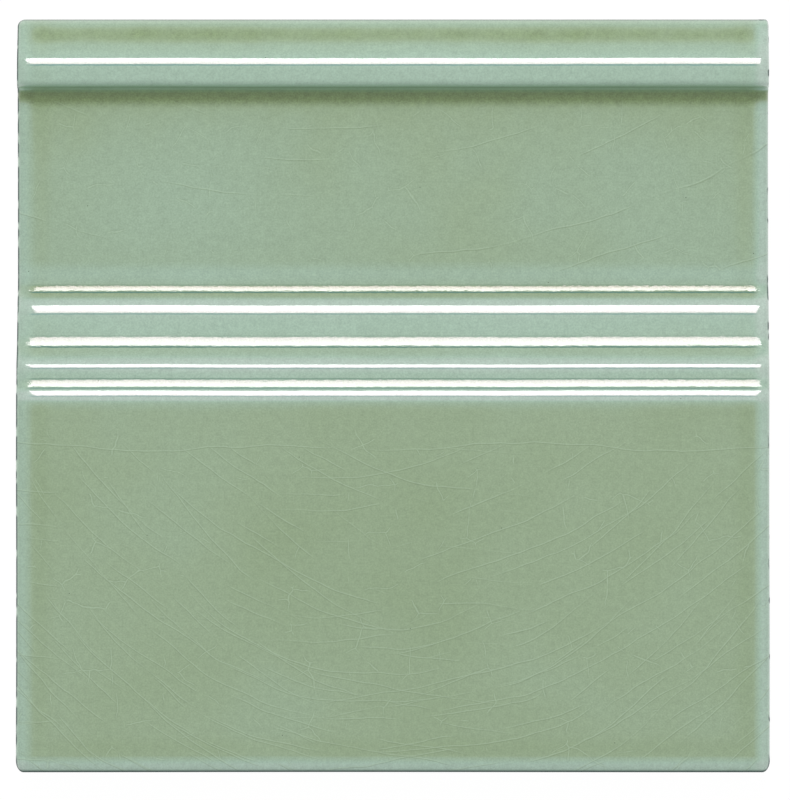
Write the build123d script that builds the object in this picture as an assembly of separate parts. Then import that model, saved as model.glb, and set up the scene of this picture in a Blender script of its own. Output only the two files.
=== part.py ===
from build123d import *
import math
import os

# Skirting tile: one fired piece with a moulded face, stored lying on its back.
# X runs along the wall, +Y up the wall and +Z out of the wall. Millimetres and degrees.
# Slopes are measured from the plane of the wall, lengths down the face along -Y.

# Overall format
tile_width = 150.0
tile_height = 150.0
field_thickness = 8.0  # flat band between the capping roll and the steps

# Capping roll along the top edge
shoulder_depth = 8.84  # from the top edge down to the shoulder, before rounding
roll_projection = 4.6  # shoulder above the field
cap_slope = 29.0  # weathering that falls back from the shoulder to the top edge
crest_length = 4.5
crest_fall = 4.0
underside_draft = 8.0
top_arris_radius = 1.7
shoulder_radius = 5.2
nose_radius = 1.6
cove_radius = 1.3

# Flat field, from the foot of the roll to the foot of the upper step
field_length = 40.15

# Three steps out to the plinth, each a rise with a hollow foot and a rounded head
upper_rise_length = 2.72
upper_rise_slope = 43.8
upper_foot_radius = 4.1
upper_head_radius = 6.7
upper_tread_length = 8.16
upper_tread_slope = 10.0
middle_rise_length = 4.1
middle_rise_slope = 37.0
middle_foot_radius = 7.5
middle_head_radius = 2.8
middle_tread_length = 3.5
middle_tread_slope = 5.0
lower_rise_length = 2.3
lower_rise_slope = 30.0
lower_foot_radius = 6.0
lower_head_radius = 4.5

# Edges
bottom_arris_radius = 2.4
end_arris_radius = 1.4

# Keying grooves pressed into the back, along the wall
key_depth = 1.2
key_width = 7.0
key_pitch = 13.0
key_margin = 10.0  # least plain border around the grooves

# Share of a flat that its two fillets may use up, and of a convex edge that the end rounding may
fillet_share = 0.98
end_arris_share = 0.9


def down_the_face(corner, length, slope):
    """Next corner of the section, a length further down the face, climbing at the slope."""
    y, z = corner
    return (y - length, z + length * math.tan(math.radians(slope)))


def section_corners():
    """Sharp corners of the section with the radius at each, from the back up over the top edge and down."""
    top, bottom = tile_height / 2, -tile_height / 2
    shoulder = (top - shoulder_depth, field_thickness + roll_projection)
    cap_edge = (top, shoulder[1] - shoulder_depth * math.tan(math.radians(cap_slope)))
    nose = down_the_face(shoulder, crest_length, -crest_fall)
    underside = (nose[1] - field_thickness) * math.tan(math.radians(underside_draft))
    roll_foot = (nose[0] - underside, field_thickness)
    upper_foot = down_the_face(roll_foot, field_length, 0)
    upper_head = down_the_face(upper_foot, upper_rise_length, upper_rise_slope)
    middle_foot = down_the_face(upper_head, upper_tread_length, upper_tread_slope)
    middle_head = down_the_face(middle_foot, middle_rise_length, middle_rise_slope)
    lower_foot = down_the_face(middle_head, middle_tread_length, middle_tread_slope)
    plinth_head = down_the_face(lower_foot, lower_rise_length, lower_rise_slope)
    plinth_foot = (bottom, plinth_head[1])
    return [
        ((bottom, 0), 0),
        ((top, 0), 0),
        (cap_edge, top_arris_radius),
        (shoulder, shoulder_radius),
        (nose, nose_radius),
        (roll_foot, cove_radius),
        (upper_foot, upper_foot_radius),
        (upper_head, upper_head_radius),
        (middle_foot, middle_foot_radius),
        (middle_head, middle_head_radius),
        (lower_foot, lower_foot_radius),
        (plinth_head, lower_head_radius),
        (plinth_foot, bottom_arris_radius),
    ]


def fitted_radii(points, radii):
    """The named radii, less where two neighbouring fillets would meet on the flat between them."""
    count = len(points)
    corners = [Vector(*point) for point in points]
    flats = [corners[(i + 1) % count] - corners[i] for i in range(count)]
    turns = [math.radians(flats[i - 1].get_angle(flats[i])) for i in range(count)]
    tangents = [radius * math.tan(turn / 2) for radius, turn in zip(radii, turns)]
    room = []
    for i, flat in enumerate(flats):
        used = tangents[i] + tangents[(i + 1) % count]
        room.append(min(1.0, fillet_share * flat.length / used) if used else 1.0)
    return [radius * min(room[i - 1], room[i]) for i, radius in enumerate(radii)]


def moulded_body():
    """The section carried along the wall, with both ends and their corners rounded over."""
    points, radii = zip(*section_corners())
    outline = FilletPolyline(*points, radius=fitted_radii(points, radii), close=True)
    body = extrude(Plane.YZ * make_face(outline), amount=tile_width / 2, both=True)
    back_z = body.bounding_box().min.Z
    ends = body.faces().sort_by(Axis.X)
    end_edges = ShapeList([*ends[0].edges(), *ends[-1].edges()])
    rounded = end_edges.filter_by(lambda edge: edge.bounding_box().max.Z > back_z + key_depth)
    tightest_edge = min(top_arris_radius, nose_radius, middle_head_radius, bottom_arris_radius)
    return fillet(rounded, min(end_arris_radius, end_arris_share * tightest_edge))


def keying_grooves():
    """Round-ended grooves in pairs above and below the middle, as many as the back has room for."""
    pairs = int((tile_height / 2 - key_margin) // key_pitch)
    groove = extrude(SlotOverall(tile_width - 2 * key_margin, key_width), amount=key_depth)
    return GridLocations(0, key_pitch, 1, 2 * pairs) * groove


skirting_tile = moulded_body() - keying_grooves()

os.makedirs("parts", exist_ok=True)
export_step(skirting_tile, "parts/skirting_tile.step")
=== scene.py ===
import math
import bmesh
import bpy
import numpy as np
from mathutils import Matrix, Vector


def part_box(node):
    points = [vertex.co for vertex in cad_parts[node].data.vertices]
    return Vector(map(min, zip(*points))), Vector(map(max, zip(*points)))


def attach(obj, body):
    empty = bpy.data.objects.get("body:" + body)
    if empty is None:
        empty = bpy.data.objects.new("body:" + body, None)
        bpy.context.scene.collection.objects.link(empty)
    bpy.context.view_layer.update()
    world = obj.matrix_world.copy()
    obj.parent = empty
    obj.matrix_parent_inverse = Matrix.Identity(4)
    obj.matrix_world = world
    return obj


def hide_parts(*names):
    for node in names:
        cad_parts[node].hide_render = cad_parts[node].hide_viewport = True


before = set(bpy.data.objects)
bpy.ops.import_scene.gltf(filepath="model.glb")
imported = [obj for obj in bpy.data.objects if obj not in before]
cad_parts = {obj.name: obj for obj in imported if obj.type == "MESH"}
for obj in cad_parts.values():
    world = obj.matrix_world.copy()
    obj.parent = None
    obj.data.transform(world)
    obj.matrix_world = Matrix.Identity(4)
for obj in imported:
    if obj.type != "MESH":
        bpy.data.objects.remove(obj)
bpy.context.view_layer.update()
scene = bpy.context.scene
scene.view_settings.view_transform = "Standard"
mm = 0.001

# The moulding's section in millimetres and degrees, lengths down the face from the top edge.
moulding = {
    "fieldThickness": 8.0,
    "shoulderDepth": 8.84, "rollProjection": 4.6, "capSlope": 29.0,
    "crestLength": 4.5, "crestFall": 4.0, "undersideDraft": 8.0,
    "shoulderRadius": 5.2, "noseRadius": 1.6, "coveRadius": 1.3,
    "fieldLength": 40.15,
    # rise length, rise slope, foot radius, head radius, tread length, tread slope, from the top down
    "steps": [(2.72, 43.8, 4.1, 6.7, 8.16, 10.0),
              (4.1, 37.0, 7.5, 2.8, 3.5, 5.0),
              (2.3, 30.0, 6.0, 4.5, 0.0, 0.0)],
    "profileStep": 0.02,
}

# Rounded edges of the face: how far the rounding reaches in from an edge, and how deep it falls.
edges = {
    "sideReach": 1.7, "cornerReach": 1.5, "topRightReach": 0.6, "cornerBlend": (1.5, 7.0),
    "topReach": 1.5, "bottomReach": 2.4, "depth": 1.5,
    # inside the left and right edges the face first bends down gently, in radians per millimetre
    "bendReach": (4.0, 3.0), "bendWander": 0.6, "bendLength": 26.0, "bend": 0.05, "rollBend": 0.025,
    "rollBlend": (-1.0, 3.0),
    "arrisRows": 7, "arrisLayers": 6, "wallLayers": 5, "sharpAngle": 40.0,
    # a pressed tile's edges are never quite straight: they sway inwards, each side in its own phase
    "sway": 0.14, "swayLengths": (31.0, 17.0), "swayPhases": (2.2, 4.4),
    "endSway": 0.056, "endSwayLength": 23.0, "endSwayPhase": 1.9,
    # the dark line's turn round the edge, and its way down the wall
    "lineTurn": (0.1, 0.6), "lineDown": (0.0, 0.25),
}

# The face's grid, the ripple that the melted glaze sets with, and how it thins and pools.
glazeSurface = {
    "columns": 236, "columnCrowding": 0.3, "rows": 300,
    "curveFrom": 1e-5, "curveWeight": 5.0, "curveReach": 1.2,
    "rippleHeight": 0.010, "rippleLengths": (8.0, 28.0), "rippleWaves": 26,
    "wander": 0.05, "wanderLengths": (18.0, 60.0), "wanderWaves": 7, "seed": 7,
    # pools lie a little below the hollow that they run to, deeper on the steps but not in the first foot
    "poolReach": 1.3, "poolScale": 0.32, "poolDrop": 0.55, "poolFromTop": (2.0, 5.0),
    "stepPool": 1.15, "stepFade": (2.0, 3.0), "firstPool": 0.35, "firstPlace": -0.7, "firstWidth": 2.0,
    "capPool": 0.42, "capPlace": 3.1, "capWidth": 1.7, "capFade": (0.5, 6.0),
    "patches": 0.15, "patchLengths": (3.0, 9.0),
    "crestThin": 0.3, "crestFrom": (4.2, 5.5), "crestAboveFoot": 0.6, "rollThinnest": -0.6,
    # under the roll: pooled glaze, and with it the painted shadow that the roll casts on the field below
    "cornerPoolAndShadow": 0.27, "cornerFade": 7.0, "cornerEnds": (0.5, 4.0),
    # bands of thin glaze come in over one pair of places and end over another; the plinth's is deep. The
    # pale band over the steps and the strip below the last head are partly thin glaze, partly painted
    # reflection
    "paleBand": 0.42, "paleFrom": (0.5, 1.5), "paleTo": (3.5, 6.0),
    "stepThin": 0.6, "stepsFrom": (-1.5, 0.5), "stepsTo": (-2.5, -0.5),
    "headThinAndSheen": 1.4, "headPlace": -0.5, "headWidth": 0.7, "plinthDepth": 0.14, "plinthFrom": (1.0, 3.5),
    # wide, shallow drifts: centre x and y, width in x and y, and depth added
    "drifts": [(-9.5, -32.0, 22.0, 36.0, 0.12), (42.0, -38.0, 22.0, 34.0, -0.05),
               (-48.0, 34.0, 26.0, 16.0, -0.15)],
    # how far the glaze is thin inside each edge, by how much, and how softly that ends; pools hold out
    # against it, and it takes away most of what lies there
    "leftThin": (2.5, 0.5, 1.3), "rightThin": (2.5, 0.85, 1.1), "topThin": (1.5, 0.2, 0.8),
    "bottomThin": (2.4, 0.85, 1.0), "poolHold": 0.8, "thinShare": 0.6,
    "beadPlace": 5.0, "beadWidth": 1.8, "bead": 0.09,
}

keying = {"depth": 1.2, "width": 7.0, "pitch": 13.0, "pairs": 5, "margin": 10.0, "endSteps": 14}


def climb(corner, length, slope):
    # next corner: a length further down the face, rising by that length times the slope's tangent
    return corner[0] - length, corner[1] + length * math.tan(math.radians(slope))


def sectionCorners(top):
    m = moulding
    shoulder = (top - m["shoulderDepth"], m["fieldThickness"] + m["rollProjection"])
    capEdge = climb(shoulder, -m["shoulderDepth"], m["capSlope"])
    nose = climb(shoulder, m["crestLength"], -m["crestFall"])
    underside = (nose[1] - m["fieldThickness"]) * math.tan(math.radians(m["undersideDraft"]))
    rollFoot = (nose[0] - underside, m["fieldThickness"])
    corners = [capEdge, shoulder, nose, rollFoot]
    radii = [0.0, m["shoulderRadius"], m["noseRadius"], m["coveRadius"]]
    foot = climb(rollFoot, m["fieldLength"], 0.0)
    for riseLength, riseSlope, footRadius, headRadius, treadLength, treadSlope in m["steps"]:
        head = climb(foot, riseLength, riseSlope)
        corners += [foot, head]
        radii += [footRadius, headRadius]
        foot = climb(head, treadLength, treadSlope)
    corners.append((-top, corners[-1][1]))
    return np.array(corners), np.array(radii + [0.0])


def roundedLine(corners, radii):
    # straight runs with an arc at each corner: the arc starts radius * tan(half the turn) before the
    # corner, and its points turn evenly from one run's heading to the next
    runs = np.diff(corners, axis=0)
    headings = np.arctan2(runs[:, 1], runs[:, 0])
    points = [corners[:1]]
    for i in range(1, len(corners) - 1):
        turn = (headings[i] - headings[i - 1] + math.pi) % (2 * math.pi) - math.pi
        reach = radii[i] * math.tan(abs(turn) / 2)
        count = max(3, int(abs(turn) * radii[i] / moulding["profileStep"]))
        angle = headings[i - 1] + np.linspace(0, turn, count)
        start = corners[i] - reach * np.array([math.cos(headings[i - 1]), math.sin(headings[i - 1])])
        side = math.copysign(radii[i], turn)
        sweep = [np.sin(angle) - math.sin(headings[i - 1]), math.cos(headings[i - 1]) - np.cos(angle)]
        points.append(start + side * np.stack(sweep, 1))
    points.append(corners[-1:])
    line = np.concatenate(points)
    length = np.concatenate([[0], np.cumsum(np.hypot(*np.diff(line, axis=0).T))])
    even = np.linspace(0, length[-1], int(length[-1] / moulding["profileStep"]))
    return np.interp(even, length, line[:, 0]), np.interp(even, length, line[:, 1])


def blur(values, reach):
    # moving average under a bell curve; reach is its spread in samples, and the ends repeat outwards
    span = int(3 * reach)
    weights = np.exp(-0.5 * (np.arange(-span, span + 1) / reach) ** 2)
    return np.convolve(np.pad(values, span, mode="edge"), weights / weights.sum(), "valid")


def waves(x, y, lengths, count, seed):
    # sum of plane sine waves of random heading, phase and length, scaled to about -1 to 1
    rng = np.random.default_rng(seed)
    heading, phase = rng.uniform(0, 2 * math.pi, (2, count))
    wavelength = rng.uniform(*lengths, count)
    total = 0
    for h, p, w in zip(heading, phase, wavelength):
        total = total + np.sin((x * math.cos(h) + y * math.sin(h)) * 2 * math.pi / w + p)
    return total / math.sqrt(2 * count)


def smooth(value, start, end):
    # rises from 0 at start to 1 at end along the curve 3t^2 - 2t^3
    t = np.clip((value - start) / (end - start), 0, 1)
    return t * t * (3 - 2 * t)


def bell(value, place, width):
    return np.exp(-((value - place) / width) ** 2)


# One long curve for the section.
low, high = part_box("skirting_tile")
halfWidth = (high.x - low.x) / 2 / mm
halfHeight = (high.y - low.y) / 2 / mm
corners, radii = sectionCorners(halfHeight)
sectionY, sectionZ = roundedLine(corners, radii)
rollFoot, firstFoot, lastHead = corners[3, 0], corners[4, 0], corners[9, 0]
print("section drawn:", len(sectionY), "points, plinth", round(sectionZ[-1], 2), "mm")

# Glaze runs level before it sets: it stands deep where the smoothed section lies above the body, in the
# hollows, and thin where it lies below, on the crests.
levelY = np.arange(-halfHeight, halfHeight, moulding["profileStep"])
levelZ = np.interp(levelY, sectionY[::-1], sectionZ[::-1])
levelPool = blur(levelZ, glazeSurface["poolReach"] / moulding["profileStep"]) - levelZ
levelPool = np.tanh(levelPool / glazeSurface["poolScale"])

# Slope of the face in degrees, above 0 where it rises on the way down.
tilt = np.degrees(np.arctan(-np.gradient(sectionZ, sectionY)))


def tiltCrossings(angle):
    # places where the face, going down, steepens past an angle: one in the foot of each rise
    return sectionY[1:][(tilt[:-1] < angle) & (tilt[1:] >= angle)]


def gridRows():
    # rows crowd together where the section bends; the last rows at each end lean over the rounded edge
    e, g = edges, glazeSurface
    headings = np.unwrap(np.arctan2(np.gradient(sectionZ), np.gradient(sectionY)))
    bends = (np.abs(np.gradient(headings)) > g["curveFrom"]).astype(float)
    crowding = 1 + g["curveWeight"] * blur(bends, g["curveReach"] / moulding["profileStep"])
    inside = (sectionY < halfHeight - e["topReach"]) & (sectionY > -halfHeight + e["bottomReach"])
    places = np.cumsum(crowding[inside])
    rowY = np.interp(np.linspace(places[0], places[-1], g["rows"]), places, sectionY[inside])
    lean = np.tan(np.linspace(0, math.pi / 4, e["arrisRows"] + 1))[1:]
    rowY = np.concatenate([np.full(len(lean), rowY[0]), rowY, np.full(len(lean), rowY[-1])])
    return rowY, np.concatenate([lean[::-1], np.zeros(g["rows"]), -lean])


def gridColumns():
    # columns from -1 to 1 across the flat of the face, closer together towards the sides; the last ones
    # at each side lean over the edge
    g = glazeSurface
    lean = np.tan(np.linspace(0, math.pi / 4, edges["arrisRows"] + 1))[1:]
    even = np.linspace(-1, 1, g["columns"])
    across = even * (1 + g["columnCrowding"] * (1 - even ** 2))
    across = np.concatenate([np.full(len(lean), -1.0), across, np.full(len(lean), 1.0)])
    return across, np.concatenate([-lean[::-1], np.zeros(g["columns"]), lean])


def sideBend(x, y):
    # how far the face has bent down near a side: half the bend times the squared way into its reach,
    # which wanders along the side
    e = edges
    reach = np.where(x < 0, *e["bendReach"])
    reach = reach + e["bendWander"] * np.cos((y - firstFoot) * 2 * math.pi / e["bendLength"])
    bend = e["bend"] + (e["rollBend"] - e["bend"]) * smooth(y - rollFoot, *e["rollBlend"])
    return bend / 2 * np.clip(reach - halfWidth + np.abs(x), 0, None) ** 2


def tileSurface(across, leanX, rowY, leanY, leanZ, down):
    # A point of the face lies at (across, rowY) on the section's height. At an edge the three leans make
    # one direction, along which the point goes out to an ellipsoid, and down carries it to the back.
    e, g = edges, glazeSurface
    size = np.sqrt(leanX ** 2 + leanY ** 2 + leanZ ** 2)
    endGap = np.minimum(halfHeight - rowY, halfHeight + rowY)
    corner = np.where((across > 0) & (rowY > 0), e["topRightReach"], e["cornerReach"])
    sideReach = corner + (e["sideReach"] - corner) * smooth(endGap, *e["cornerBlend"])
    endReach = np.where(leanY > 0, e["topReach"], e["bottomReach"])
    x = across * (halfWidth - sideReach) + sideReach * leanX / size
    y = rowY + endReach * leanY / size
    wander = g["wander"] * waves(x, 0 * y, g["wanderLengths"], g["wanderWaves"], g["seed"])
    z = np.interp(y + wander, sectionY[::-1], sectionZ[::-1])
    ripple = np.tanh(waves(x, y, g["rippleLengths"], g["rippleWaves"], g["seed"] + 1))
    z = z - g["rippleHeight"] * (1 + ripple) - sideBend(x, y)
    z = (z - e["depth"] * (1 - leanZ / size)) * (1 - down)
    longSway, shortSway = e["swayLengths"]
    swayPhase = np.where(x > 0, *e["swayPhases"])
    sideSway = e["sway"] * (0.5 + 0.5 * np.sin(y / longSway + swayPhase) * np.cos(y / shortSway + 1))
    endSway = e["endSway"] * (0.5 + 0.5 * np.sin(x / e["endSwayLength"] + e["endSwayPhase"])) * (y < 0)
    return np.stack([x * (1 - sideSway / halfWidth), y * (1 - endSway / halfHeight), z], -1)


def hollows(y):
    # how far a place lies in a hollow of the section, 0 to 1
    return np.clip(np.interp(y, levelY, levelPool), 0, 1)


def glazeDepth(x, y):
    # depth of glaze as a number about 0: the section's pools and thin crests, a patchy pool behind the
    # top edge, a pool under the roll that also holds the roll's painted shadow, a pale band over the steps
    # that is partly painted reflection, thin treads, a strip below the last head that is partly painted
    # reflection, wide drifts, thinner still over the edges, and a low bead inside them
    g = glazeSurface
    fromTop, fromRoll, overFoot = halfHeight - y, rollFoot - y, y - firstFoot
    sideGap = halfWidth - np.abs(x)
    patches = 1 + g["patches"] * waves(x, y, g["patchLengths"], g["rippleWaves"], g["seed"] + 2)
    pool = hollows(y + g["poolDrop"]) * smooth(fromTop, *g["poolFromTop"])
    pool = pool * (1 - (1 - g["stepPool"]) * (1 - smooth(overFoot, *g["stepFade"])))
    pool = pool * (1 - (1 - g["firstPool"]) * bell(overFoot, g["firstPlace"], g["firstWidth"]))
    depth = pool + np.minimum(np.interp(y, levelY, levelPool), 0)
    cap = bell(fromTop, g["capPlace"], g["capWidth"]) * smooth(sideGap, *g["capFade"])
    depth = depth + g["capPool"] * cap * patches
    onRoll = smooth(fromTop, *g["crestFrom"]) * (fromRoll < -g["crestAboveFoot"])
    depth = depth - g["crestThin"] * onRoll
    depth = np.where(fromRoll < 0, np.maximum(depth, g["rollThinnest"]), depth)
    # pooled glaze in the corner under the roll, which also paints the roll's shadow on the field
    corner = np.exp(-np.clip(fromRoll, 0, None) / g["cornerFade"]) * (fromRoll > 0)
    depth = depth + g["cornerPoolAndShadow"] * corner * patches * smooth(sideGap, *g["cornerEnds"])
    # the pale band over the first foot is partly thin glaze, partly painted reflection; the treads are thin
    onBand = smooth(overFoot, *g["paleFrom"]) * (1 - smooth(overFoot, *g["paleTo"]))
    onSteps = smooth(y - lastHead, *g["stepsFrom"]) * (1 - smooth(overFoot, *g["stepsTo"]))
    depth = depth - g["paleBand"] * onBand - g["stepThin"] * onSteps
    depth = depth + g["plinthDepth"] * smooth(-y, *g["plinthFrom"])
    # the strip just below the last head: partly thin glaze, partly painted reflection
    depth = depth - g["headThinAndSheen"] * bell(y - lastHead, g["headPlace"], g["headWidth"])
    for centreX, centreY, widthX, widthY, amount in g["drifts"]:
        depth = depth + amount * bell(x, centreX, widthX) * bell(y, centreY, widthY)
    gaps = {"leftThin": halfWidth + x, "rightThin": halfWidth - x,
            "topThin": fromTop, "bottomThin": halfHeight + y}
    for edge, gap in gaps.items():
        reach, amount, soft = g[edge]
        thin = (1 - smooth(gap, reach - soft, reach + soft)) * (1 - g["poolHold"] * pool)
        depth = depth * (1 - g["thinShare"] * thin) - amount * thin
    return depth + g["bead"] * bell(np.minimum(sideGap, gaps["bottomThin"]), g["beadPlace"], g["beadWidth"])


def keyingGrooves():
    # outlines of the round-ended grooves in the back: two half circles joined by straight sides
    k = keying
    turn = np.linspace(-math.pi / 2, math.pi / 2, k["endSteps"])
    reach = halfWidth - k["margin"] - k["width"] / 2
    x = np.concatenate([reach + np.cos(turn) * k["width"] / 2, -reach - np.cos(turn) * k["width"] / 2])
    y = np.concatenate([np.sin(turn), -np.sin(turn)]) * k["width"] / 2
    centres = (np.arange(2 * k["pairs"]) + 0.5 - k["pairs"]) * k["pitch"]
    mouth = np.stack(np.broadcast_arrays(x, y + centres[:, None], 0.0), -1)
    return mouth, mouth + np.array([0, 0, k["depth"]])


def addValues(mesh, name, values):
    mesh.attributes.new(name, "FLOAT", "POINT").data.foreach_set("value", values)


def buildTile():
    rowY, rowLean = gridRows()
    across, colLean = gridColumns()
    rows, cols = len(rowY), len(across)
    face = tileSurface(across, colLean, rowY[:, None], rowLean[:, None], 1.0, 0.0)
    number = np.arange(rows * cols).reshape(rows, cols)
    quads = [np.stack([number[:-1, :-1], number[1:, :-1], number[1:, 1:], number[:-1, 1:]], -1)]
    # the rim of the face, clockwise, is carried round the edge and down the walls to the back
    rim = np.concatenate([number[0], number[1:, -1], number[-1, -2::-1], number[-2:0:-1, 0]])
    rimRow, rimCol = np.divmod(rim, cols)
    lean = np.tan(np.linspace(math.pi / 4, 0, edges["arrisLayers"] + 1))[1:]
    leanZ = np.concatenate([lean, np.zeros(edges["wallLayers"])])[:, None]
    down = np.concatenate([0 * lean, np.linspace(0, 1, edges["wallLayers"] + 1)[1:]])[:, None]
    walls = tileSurface(across[rimCol], colLean[rimCol], rowY[rimRow], rowLean[rimRow], leanZ, down)
    layers = rows * cols + np.arange(walls.shape[0] * len(rim)).reshape(-1, len(rim))
    loops = np.concatenate([rim[None], layers])
    nextLoop = np.roll(loops, -1, axis=1)
    quads.append(np.stack([loops[:-1], nextLoop[:-1], nextLoop[1:], loops[1:]], -1))
    mouth, floor = keyingGrooves()
    mouthLoop = layers.max() + 1 + np.arange(mouth.shape[0] * mouth.shape[1]).reshape(mouth.shape[:2])
    floorLoop = mouthLoop + mouthLoop.size
    nextMouth, nextFloor = np.roll(mouthLoop, -1, 1), np.roll(floorLoop, -1, 1)
    quads.append(np.stack([mouthLoop, nextMouth, nextFloor, floorLoop], -1))
    points = np.concatenate([p.reshape(-1, 3) for p in (face, walls, mouth, floor)])
    polygons = np.concatenate([q.reshape(-1, 4) for q in quads]).tolist() + floorLoop.tolist()
    mesh = bpy.data.meshes.new("skirtingTileGlazed")
    mesh.from_pydata((points * mm).tolist(), [], polygons)
    # the edge line, partly thick glaze and partly painted shade, lies where the rounding has turned most
    # of the way down, and ends high on the wall
    edgeGlazeAndShade = np.zeros(len(points))
    edgeGlazeAndShade[layers] = smooth(1 - leanZ, *edges["lineTurn"]) * (1 - smooth(down, *edges["lineDown"]))
    addValues(mesh, "edgeGlazeAndShade", edgeGlazeAndShade)
    addValues(mesh, "glazeDepth", glazeDepth(points[:, 0], points[:, 1]))
    addValues(mesh, "hollow", hollows(points[:, 1]))
    # the flat of the back is filled between the walls' last loop and the grooves' mouths
    shell = bmesh.new()
    shell.from_mesh(mesh)
    bmesh.ops.triangle_fill(shell, edges=[e for e in shell.edges if e.is_boundary], use_beauty=True)
    bmesh.ops.recalc_face_normals(shell, faces=shell.faces)
    shell.to_mesh(mesh)
    shell.free()
    mesh.shade_smooth()
    mesh.set_sharp_from_angle(angle=math.radians(edges["sharpAngle"]))
    tile = bpy.data.objects.new("skirtingTileGlazed", mesh)
    scene.collection.objects.link(tile)
    print("tile built:", sum(len(p.vertices) - 2 for p in mesh.polygons), "triangles")
    return tile


def linear(red, green, blue):
    # a colour as seen on screen, 0 to 255, turned into light
    return [((c / 255 + 0.055) / 1.055) ** 2.4 for c in (red, green, blue)] + [1.0]


def addNode(tree, kind, inputs=None, **settings):
    made = tree.nodes.new(kind)
    for key, value in settings.items():
        setattr(made, key, value)
    for key, value in (inputs or {}).items():
        if isinstance(value, bpy.types.NodeSocket):
            tree.links.new(value, made.inputs[key])
        else:
            made.inputs[key].default_value = value
    return made


def calc(tree, operation, *values):
    return addNode(tree, "ShaderNodeMath", dict(enumerate(values)), operation=operation).outputs[0]


def vector(tree, operation, *values):
    return addNode(tree, "ShaderNodeVectorMath", dict(enumerate(values)), operation=operation)


def noise(tree, place, size, detail=2.0, roughness=0.5):
    inputs = {"Vector": place, "Scale": 1 / size, "Detail": detail, "Roughness": roughness}
    return addNode(tree, "ShaderNodeTexNoise", inputs).outputs["Fac"]


def swing(tree, place, size, amount, *shape):
    # noise about 0 instead of about a half
    return calc(tree, "MULTIPLY", calc(tree, "SUBTRACT", noise(tree, place, size, *shape), 0.5), amount)


def ramp(tree, value, start, end, low=0.0, high=1.0, kind="SMOOTHSTEP"):
    inputs = {"Value": value, "From Min": start, "From Max": end, "To Min": low, "To Max": high}
    return addNode(tree, "ShaderNodeMapRange", inputs, interpolation_type=kind).outputs["Result"]


def blend(tree, factor, first, second):
    inputs = {"Factor": factor, "A": first, "B": second}
    return addNode(tree, "ShaderNodeMix", inputs, data_type="RGBA").outputs["Result"]


def attribute(tree, name):
    return addNode(tree, "ShaderNodeAttribute", attribute_name=name).outputs["Fac"]


# Hairline crazing in millimetres: families of long arcs, most across the plinth, and short links between.
crazing = {
    "warps": [(42.0, 3.4), (9.0, 0.7)],  # size and amount
    "linkWarp": (6.0, 1.6),
    "hairWidth": 0.14, "darkSide": 0.2, "hairLength": 22.0, "hairFade": 0.08,
    "turnRate": 2.3, "arcShift": 37.0,
    # centre x and y, spacing, sideways squeeze, unevenness, share left out, x from and to, y from and to
    "arcs": [(28.0, 67.0, 3.7, 1.0, 0.24, 0.46, 34.0, 8.0, -8.0, -13.0),
             (-19.0, 75.0, 3.9, 1.0, 0.24, 0.46, -30.0, -6.0, -8.0, -13.0),
             (45.0, 52.0, 6.6, 1.0, 0.22, 0.50, 2.0, -14.0, -14.0, -20.0),
             (-36.0, 60.0, 6.8, 1.0, 0.22, 0.50, -2.0, 14.0, -14.0, -20.0),
             (0.0, -6.0, 5.2, 1.12, 0.20, 0.43, -90.0, -80.0, -36.0, -48.0),
             (-72.0, 5000.0, 4.3, 1.0, 0.3, 0.48, -65.0, -69.0, -14.0, -20.0),
             (0.0, 4989.0, 10000.0, 1.0, 0.0, 0.34, -90.0, -80.0, -3.0, -6.0),
             (-14.0, 96.0, 9.0, 1.7, 0.2, 0.50, -90.0, -80.0, 23.0, 27.0)],
    "rollFade": (60.0, 54.0),  # the hairs fade towards the roll
    "linkSize": 9.0, "linkLength": 4.5, "linkShare": 0.54, "linkFade": 0.06, "linkDark": 0.5,
    # links keep to the two flat fields: y from and to, and the upper field's share
    "lowerLinks": (-6.0, -9.0), "upperLinks": (23.0, 26.0), "upperShare": 0.9,
}


def shifted(tree, place, size, amount):
    # each place moved about by a coloured noise
    made = addNode(tree, "ShaderNodeTexNoise", {"Vector": place, "Scale": 1 / size, "Detail": 2.0})
    centred = vector(tree, "SUBTRACT", made.outputs["Color"], (0.5, 0.5, 0.5)).outputs[0]
    return vector(tree, "MULTIPLY_ADD", centred, (2 * amount, 2 * amount, 0.0), place).outputs[0]


def paintedRidge(tree, gap):
    # a hair is painted as a low raised line lit from above: painted light on its upper side and painted
    # shade just below
    below = calc(tree, "ABSOLUTE", calc(tree, "SUBTRACT", gap, crazing["darkSide"]))
    crest = ramp(tree, calc(tree, "ABSOLUTE", gap), crazing["hairWidth"], 0.0)
    return crest, ramp(tree, below, crazing["hairWidth"], 0.0)


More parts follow.
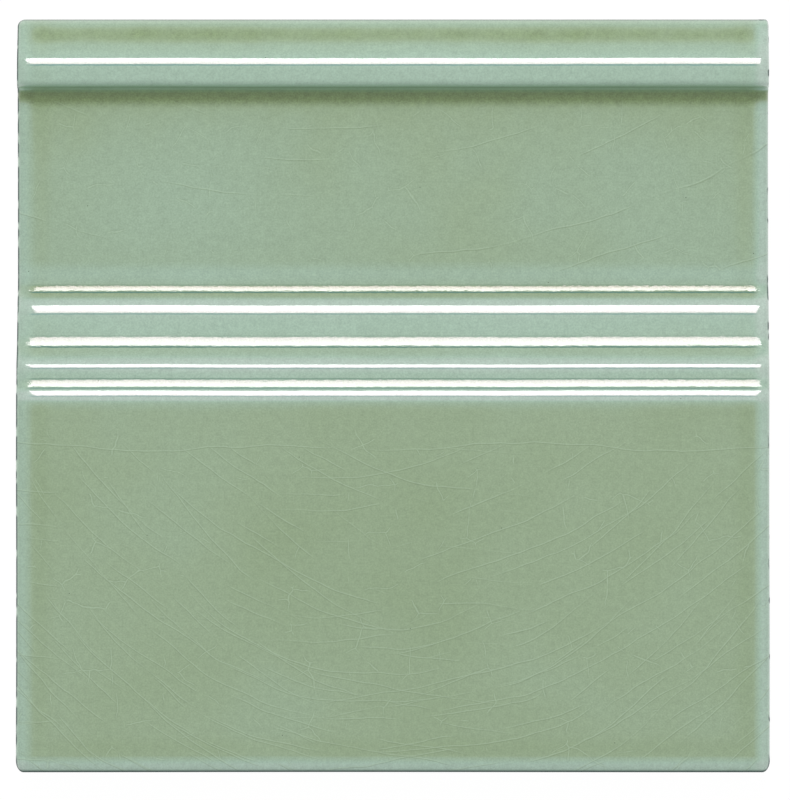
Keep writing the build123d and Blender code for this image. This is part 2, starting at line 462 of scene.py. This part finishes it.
def crazeGroup():
    c = crazing
    group = bpy.data.node_groups.new("crazeLines", "ShaderNodeTree")
    group.interface.new_socket("Place", in_out="INPUT", socket_type="NodeSocketVector")
    group.interface.new_socket("Pale", in_out="OUTPUT", socket_type="NodeSocketFloat")
    group.interface.new_socket("Dark", in_out="OUTPUT", socket_type="NodeSocketFloat")
    place = addNode(group, "NodeGroupInput").outputs["Place"]
    warped = place
    for size, amount in c["warps"]:
        warped = shifted(group, warped, size, amount)
    at = addNode(group, "ShaderNodeSeparateXYZ", {"Vector": place}).outputs
    belowRoll = ramp(group, at["Y"], *c["rollFade"])
    pale, dark = 0.0, 0.0
    for centreX, centreY, spacing, squeeze, uneven, leftOut, *fades in c["arcs"]:
        # distance from the family's centre, counted in spacings: a hair runs at every half count
        offset = vector(group, "SUBTRACT", warped, (centreX, centreY, 0.0)).outputs[0]
        squeezed = vector(group, "MULTIPLY", offset, (1 / squeeze, 1.0, 0.0)).outputs[0]
        count = calc(group, "DIVIDE", vector(group, "LENGTH", squeezed).outputs["Value"], spacing)
        turn = calc(group, "MULTIPLY", count, c["turnRate"])
        rate = calc(group, "MULTIPLY_ADD", calc(group, "COSINE", turn), uneven * c["turnRate"], 1.0)
        count = calc(group, "MULTIPLY_ADD", calc(group, "SINE", turn), uneven, count)
        whole = calc(group, "FLOOR", count)
        part = calc(group, "SUBTRACT", calc(group, "SUBTRACT", count, whole), 0.5)
        gap = calc(group, "DIVIDE", calc(group, "MULTIPLY", part, spacing), rate)
        # each arc comes and goes along its length in its own way
        shift = calc(group, "MULTIPLY", whole, c["arcShift"])
        shift = addNode(group, "ShaderNodeCombineXYZ", {"Z": shift}).outputs[0]
        own = vector(group, "ADD", place, shift).outputs[0]
        shown = ramp(group, noise(group, own, c["hairLength"], 1.0), leftOut, leftOut + c["hairFade"])
        inX = ramp(group, at["X"], fades[0], fades[1])
        inY = calc(group, "MULTIPLY", ramp(group, at["Y"], fades[2], fades[3]), belowRoll)
        shown = calc(group, "MULTIPLY", shown, calc(group, "MULTIPLY", inX, inY))
        line, under = paintedRidge(group, gap)
        pale = calc(group, "MAXIMUM", pale, calc(group, "MULTIPLY", line, shown))
        dark = calc(group, "MAXIMUM", dark, calc(group, "MULTIPLY", under, shown))
    linkPlace = shifted(group, place, *c["linkWarp"])
    cells = addNode(group, "ShaderNodeTexVoronoi", {"Vector": linkPlace, "Scale": 1 / c["linkSize"]},
                    feature="DISTANCE_TO_EDGE", voronoi_dimensions="2D")
    gap = calc(group, "MULTIPLY", cells.outputs["Distance"], c["linkSize"])
    share = noise(group, place, c["linkLength"], 1.0)
    share = ramp(group, share, c["linkShare"], c["linkShare"] + c["linkFade"])
    inLower = ramp(group, at["Y"], *c["lowerLinks"])
    inUpper = calc(group, "MULTIPLY", ramp(group, at["Y"], *c["upperLinks"]), belowRoll)
    inFields = calc(group, "MULTIPLY_ADD", inUpper, c["upperShare"], inLower)
    share = calc(group, "MULTIPLY", share, inFields)
    line, under = paintedRidge(group, gap)
    under = calc(group, "MULTIPLY", under, c["linkDark"])
    pale = calc(group, "MAXIMUM", pale, calc(group, "MULTIPLY", line, share))
    dark = calc(group, "MAXIMUM", dark, calc(group, "MULTIPLY", under, share))
    addNode(group, "NodeGroupOutput", {"Pale": pale, "Dark": dark})
    return group


# Colours are as seen on screen; the depth beside each is on the scale of the glazeDepth attribute.
glaze = {
    "colours": [(-1.1, (180, 204, 190)), (-0.6, (163, 195, 174)), (0.0, (153, 181, 152)),
                (0.14, (150, 176, 142)), (0.5, (134, 160, 116)), (1.0, (120, 146, 93))],
    # noises as size, amount, detail and roughness: clouds in the depth, then a fine grain and a wider
    # mottle in the brightness, both stronger in deep glaze
    "clouds": (34.0, 0.5), "grain": (0.35, 0.38, 2.0, 0.6), "mottle": (1.4, 0.28, 3.0, 0.6),
    "deepFrom": (0.2, 0.7), "deepGrain": 2.0,
    "roughness": 0.08, "ior": 1.5, "coatRoughness": 0.04,
    # height of the orange peel on open glaze, and in the hollows
    "peelSize": 0.5, "peel": (0.004, 0.04), "peelHollow": 0.6,
    # hairs get painted light along them and painted shade just below, as if lit from above
    "hairPale": (178, 208, 176), "paleShare": 0.42, "hairDark": (108, 126, 94), "darkShare": 0.34,
    # a greener tint at the foot of the roll
    "underside": (146, 190, 162), "undersideShare": 0.3, "undersideReach": (0.9, 0.3),
    # dark lines below and above the foot of each rise, where the lamp's reflection ends: partly glaze
    # gathered in the foot, partly painted shade beside the highlights; how far past two tilts, and each
    # one's strength
    "footGlazeAndShadeLine": (88, 134, 118), "footTilts": ((25.5, -0.27), (12.5, 0.27)),
    "footStrengths": (1.0, 1.0, 0.4, 0.3, 0.25, 0.6),
    # and painted blue-green lines of shade just below the highlights, where the face turns out of the
    # lamp's light, with their places up the face
    "paintedShadeColour": (96, 150, 150),
    "paintedShadeLines": [(65.73, 0.6), (16.15, 0.45), (5.34, 0.45), (1.31, 0.35), (-0.19, 0.4)],
    # both kinds waver by a noise of this size and amount, fade over a width and stop short of the sides
    "lineWobble": (1.2, 0.25), "lineWidth": (0.25, 0.05), "lineEnds": (2.0, 3.5),
    # the dark line at the edges, partly thick glaze and partly painted shade where the face turns down:
    # how far in it reaches from each, and the noise that breaks it
    "edgeGlazeAndShade": (14, 60, 54), "edgeRoughness": 0.5, "breakSize": 3.0,
    "sideReach": (3.0, 2.0), "leftBreaks": (0.36, 0.5), "rightBreaks": (0.6, 0.68),
    "bottomReach": (4.0, 2.0), "topReach": (3.0, 1.0), "topShare": 0.6,
    "pinholeSpacing": 36.0, "pinholeRadius": 0.12, "pinhole": (72, 92, 70),
    # the glaze ends low on the walls along a swaying line, and the clay under it is flecked
    "bareBelow": 2.6, "bareSway": (11.0, 4.0, 3.0), "bareFade": 0.35,
    "clay": (214, 203, 186), "clayDark": (190, 174, 152), "clayRoughness": 0.85,
    "fleck": (0.9, 4.0, 0.65), "fleckRange": (0.35, 0.7), "tooth": 0.06,
}


def edgeLineMask(tree, place, at):
    # a thin dark line at the very edge, partly thick glaze and partly painted shade where the face turns
    # down: broken on the left, rare on the right, whole along the bottom and faint along the top
    g = glaze
    broken = noise(tree, place, g["breakSize"], 1.0)
    left = ramp(tree, calc(tree, "ADD", at["X"], halfWidth), *g["sideReach"])
    left = calc(tree, "MULTIPLY", left, ramp(tree, broken, *g["leftBreaks"]))
    right = ramp(tree, calc(tree, "SUBTRACT", halfWidth, at["X"]), *g["sideReach"])
    right = calc(tree, "MULTIPLY", right, ramp(tree, broken, *g["rightBreaks"]))
    bottom = ramp(tree, calc(tree, "ADD", at["Y"], halfHeight), *g["bottomReach"])
    top = ramp(tree, calc(tree, "SUBTRACT", halfHeight, at["Y"]), *g["topReach"])
    top = calc(tree, "MULTIPLY", top, g["topShare"])
    sides = calc(tree, "MAXIMUM", left, right)
    ends = calc(tree, "MAXIMUM", bottom, top)
    return calc(tree, "MULTIPLY", calc(tree, "MAXIMUM", sides, ends), attribute(tree, "edgeGlazeAndShade"))


def underRoll(tree, y):
    # 1 at the foot of the roll, where little light comes, and 0 away from it
    away = calc(tree, "ABSOLUTE", calc(tree, "SUBTRACT", y, float(rollFoot)))
    return ramp(tree, away, *glaze["undersideReach"])


def glazeColour(tree, place, at):
    # tint by depth of glaze, with soft clouds, then brightness, hairs with painted light and shade, dark
    # lines of painted shade beside the highlights, partly gathered glaze at the feet, and pinholes over it
    g = glaze
    depth = calc(tree, "ADD", swing(tree, place, *g["clouds"]), attribute(tree, "glazeDepth"))
    first, last = g["colours"][0][0], g["colours"][-1][0]
    tint = addNode(tree, "ShaderNodeValToRGB", {"Fac": ramp(tree, depth, first, last, kind="LINEAR")})
    stops = tint.color_ramp.elements
    while len(stops) < len(g["colours"]):
        stops.new(0.5)
    for stop, (level, shade) in zip(stops, g["colours"]):
        stop.position = (level - first) / (last - first)
        stop.color = linear(*shade)
    grain = swing(tree, place, *g["grain"])
    mottle = swing(tree, place, *g["mottle"])
    deep = ramp(tree, depth, *g["deepFrom"], 1.0, g["deepGrain"])
    bright = calc(tree, "MULTIPLY_ADD", calc(tree, "ADD", grain, mottle), deep, 1.0)
    colour = addNode(tree, "ShaderNodeVectorMath", {0: tint.outputs["Color"], "Scale": bright},
                     operation="SCALE").outputs[0]
    hairs = addNode(tree, "ShaderNodeGroup", {"Place": place}, node_tree=crazeGroup()).outputs
    # painted shade below each hair, then painted light along it
    for side in ("Dark", "Pale"):
        strength = calc(tree, "MULTIPLY", hairs[side], g[side.lower() + "Share"])
        colour = blend(tree, strength, colour, linear(*g["hair" + side]))
    swayingY = calc(tree, "ADD", swing(tree, place, *g["lineWobble"]), at["Y"])
    sideGap = calc(tree, "SUBTRACT", halfWidth, calc(tree, "ABSOLUTE", at["X"]))
    inside = ramp(tree, sideGap, *g["lineEnds"])
    # dark lines at the two tilts where the lamp's reflection ends: partly gathered glaze, partly painted
    # shade
    shadeLinePlaces = np.concatenate([tiltCrossings(angle) + past for angle, past in g["footTilts"]])
    lines = [(float(y), strength, g["footGlazeAndShadeLine"]) for y, strength in zip(shadeLinePlaces, g["footStrengths"])]
    # painted blue-green shade lines just below the highlights
    lines += [(y, strength, g["paintedShadeColour"]) for y, strength in g["paintedShadeLines"]]
    for lineY, strength, lineColour in lines:
        away = calc(tree, "ABSOLUTE", calc(tree, "SUBTRACT", swayingY, lineY))
        line = calc(tree, "MULTIPLY", ramp(tree, away, *g["lineWidth"]), strength)
        colour = blend(tree, calc(tree, "MULTIPLY", line, inside), colour, linear(*lineColour))
    under = calc(tree, "MULTIPLY", underRoll(tree, swayingY), g["undersideShare"])
    colour = blend(tree, under, colour, linear(*g["underside"]))
    spots = addNode(tree, "ShaderNodeTexVoronoi", {"Vector": place, "Scale": 1 / g["pinholeSpacing"]},
                    voronoi_dimensions="2D").outputs["Distance"]
    radius = g["pinholeRadius"] / g["pinholeSpacing"]
    return blend(tree, ramp(tree, spots, radius, radius / 2), colour, linear(*g["pinhole"]))


def glazeMaterial():
    g = glaze
    material = bpy.data.materials.new("crackleGlaze")
    material.use_nodes = True
    tree = material.node_tree
    tree.nodes.clear()
    objectPlace = addNode(tree, "ShaderNodeTexCoord").outputs["Object"]
    place = addNode(tree, "ShaderNodeMapping", {"Vector": objectPlace, "Scale": (1 / mm,) * 3}).outputs[0]
    at = addNode(tree, "ShaderNodeSeparateXYZ", {"Vector": place}).outputs
    edgeGlazeAndShade = edgeLineMask(tree, place, at)
    # the edge line's thick glaze and painted shade laid over the glaze's colour
    colour = blend(tree, edgeGlazeAndShade, glazeColour(tree, place, at), linear(*g["edgeGlazeAndShade"]))
    # bare clay shows below the glaze on the walls, and all over the back
    bareTo = calc(tree, "ADD", swing(tree, place, *g["bareSway"]), g["bareBelow"])
    cover = ramp(tree, calc(tree, "SUBTRACT", at["Z"], bareTo), 0.0, g["bareFade"])
    fleck = ramp(tree, noise(tree, place, *g["fleck"]), *g["fleckRange"])
    clay = blend(tree, fleck, linear(*g["clayDark"]), linear(*g["clay"]))
    colour = blend(tree, cover, clay, colour)
    roughness = ramp(tree, cover, 0.0, 1.0, g["clayRoughness"], g["roughness"], "LINEAR")
    roughness = calc(tree, "MULTIPLY_ADD", edgeGlazeAndShade, g["edgeRoughness"], roughness)
    # no coat on the clay, on the dark line or at the foot of the roll
    coat = calc(tree, "MULTIPLY", cover, calc(tree, "SUBTRACT", 1.0, edgeGlazeAndShade))
    coat = calc(tree, "MULTIPLY", coat, calc(tree, "SUBTRACT", 1.0, underRoll(tree, at["Y"])))
    # relief in millimetres: the glaze's fine orange peel, and the clay's tooth
    peelHeight = ramp(tree, attribute(tree, "hollow"), 0.0, g["peelHollow"], *g["peel"], "LINEAR")
    peel = calc(tree, "MULTIPLY", swing(tree, place, g["peelSize"], 1.0), peelHeight)
    tooth = calc(tree, "MULTIPLY", fleck, g["tooth"])
    tooth = calc(tree, "MULTIPLY", calc(tree, "SUBTRACT", 1.0, cover), tooth)
    bump = addNode(tree, "ShaderNodeBump", {"Height": calc(tree, "ADD", peel, tooth), "Distance": mm,
                                            "Strength": 1.0}).outputs["Normal"]
    shader = addNode(tree, "ShaderNodeBsdfPrincipled", {
        "Base Color": colour, "Roughness": roughness, "IOR": g["ior"], "Coat Weight": coat,
        "Coat Roughness": g["coatRoughness"], "Normal": bump, "Coat Normal": bump})
    addNode(tree, "ShaderNodeOutputMaterial", {"Surface": shader.outputs[0]})
    return material


tile = buildTile()
tile.data.materials.append(glazeMaterial())
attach(tile, "root")
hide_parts("skirting_tile")
print("glaze done")

# A white floor just under the tile: mostly its own white to the camera, with a little of the real shadow.
stage = {"floorSize": 12.0, "floorDrop": 0.0002, "white": 0.93, "shadowShare": 0.06, "glow": 1.03,
         "worldLight": 0.61}


def buildStage():
    s = stage
    half = s["floorSize"] / 2
    places = [(-half, -half), (half, -half), (half, half), (-half, half)]
    mesh = bpy.data.meshes.new("floor")
    mesh.from_pydata([(x, y, -s["floorDrop"]) for x, y in places], [], [(0, 1, 2, 3)])
    floor = bpy.data.objects.new("floor", mesh)
    scene.collection.objects.link(floor)
    material = bpy.data.materials.new("whiteFloor")
    material.use_nodes = True
    tree = material.node_tree
    tree.nodes.clear()
    diffuse = addNode(tree, "ShaderNodeBsdfDiffuse", {"Color": (s["white"],) * 3 + (1.0,)})
    glow = addNode(tree, "ShaderNodeEmission", {"Color": (1, 1, 1, 1), "Strength": s["glow"]})
    path = addNode(tree, "ShaderNodeLightPath").outputs
    seen = calc(tree, "MAXIMUM", path["Is Glossy Ray"], path["Is Transmission Ray"])
    seen = calc(tree, "MAXIMUM", path["Is Camera Ray"], seen)
    mix = addNode(tree, "ShaderNodeMixShader", {"Fac": calc(tree, "MULTIPLY", seen, 1 - s["shadowShare"]),
                                                1: diffuse.outputs[0], 2: glow.outputs[0]})
    addNode(tree, "ShaderNodeOutputMaterial", {"Surface": mix.outputs[0]})
    mesh.materials.append(material)
    world = bpy.data.worlds.new("studio")
    world.use_nodes = True
    world.node_tree.nodes["Background"].inputs["Color"].default_value = (1, 1, 1, 1)
    world.node_tree.nodes["Background"].inputs["Strength"].default_value = s["worldLight"]
    scene.world = world


# One strip lamp above the top edge, bent round the tile in flat parts. Angles are from straight overhead,
# and each pair of values runs from the strip's upper to its lower edge.
stripLamp = {
    "distance": 1.5, "parts": 5, "angles": (25.0, 51.0), "halfLengths": (0.20, 0.33),
    "radiances": (6.4, 10.4), "tints": ((1.0, 0.72, 0.82), (1.0, 1.0, 1.0)),
}


def buildLamp():
    s = stripLamp
    for i in range(s["parts"]):
        along = (i + 0.5) / s["parts"]
        first, last = s["angles"]
        angle = math.radians(first + (last - first) * along)
        light = bpy.data.lights.new(f"strip{i}", "AREA")
        light.shape = "RECTANGLE"
        light.color = [a + (b - a) * along for a, b in zip(*s["tints"])]
        light.size = 2 * float(np.interp(along, (0, 1), s["halfLengths"]))
        light.size_y = 2 * s["distance"] * math.tan(math.radians((last - first) / s["parts"]) / 2)
        radiance = float(np.interp(along, (0, 1), s["radiances"]))
        light.energy = radiance * math.pi * light.size * light.size_y
        lamp = bpy.data.objects.new(f"strip{i}", light)
        lamp.location = (0, s["distance"] * math.sin(angle), s["distance"] * math.cos(angle))
        lamp.rotation_euler = (-angle, 0, 0)
        lamp.visible_camera = False
        scene.collection.objects.link(lamp)


# Straight down on the face, from far enough that the plinth looks only a little larger than the field.
view = {"distance": 2.15, "imageHeight": 800, "pixelsPerMm": 4.994, "offset": (0.40, -0.98),
        "clipEnd": 100.0}


def buildCamera():
    camera = bpy.data.objects.new("camera", bpy.data.cameras.new("camera"))
    camera.location = (view["offset"][0] * mm, view["offset"][1] * mm, view["distance"])
    spanAtFloor = view["imageHeight"] / view["pixelsPerMm"] * mm
    camera.data.lens = camera.data.sensor_width * view["distance"] / spanAtFloor
    camera.data.clip_end = view["clipEnd"]
    scene.collection.objects.link(camera)
    scene.camera = camera


buildStage()
buildLamp()
buildCamera()
print("stage, lamp and camera set")
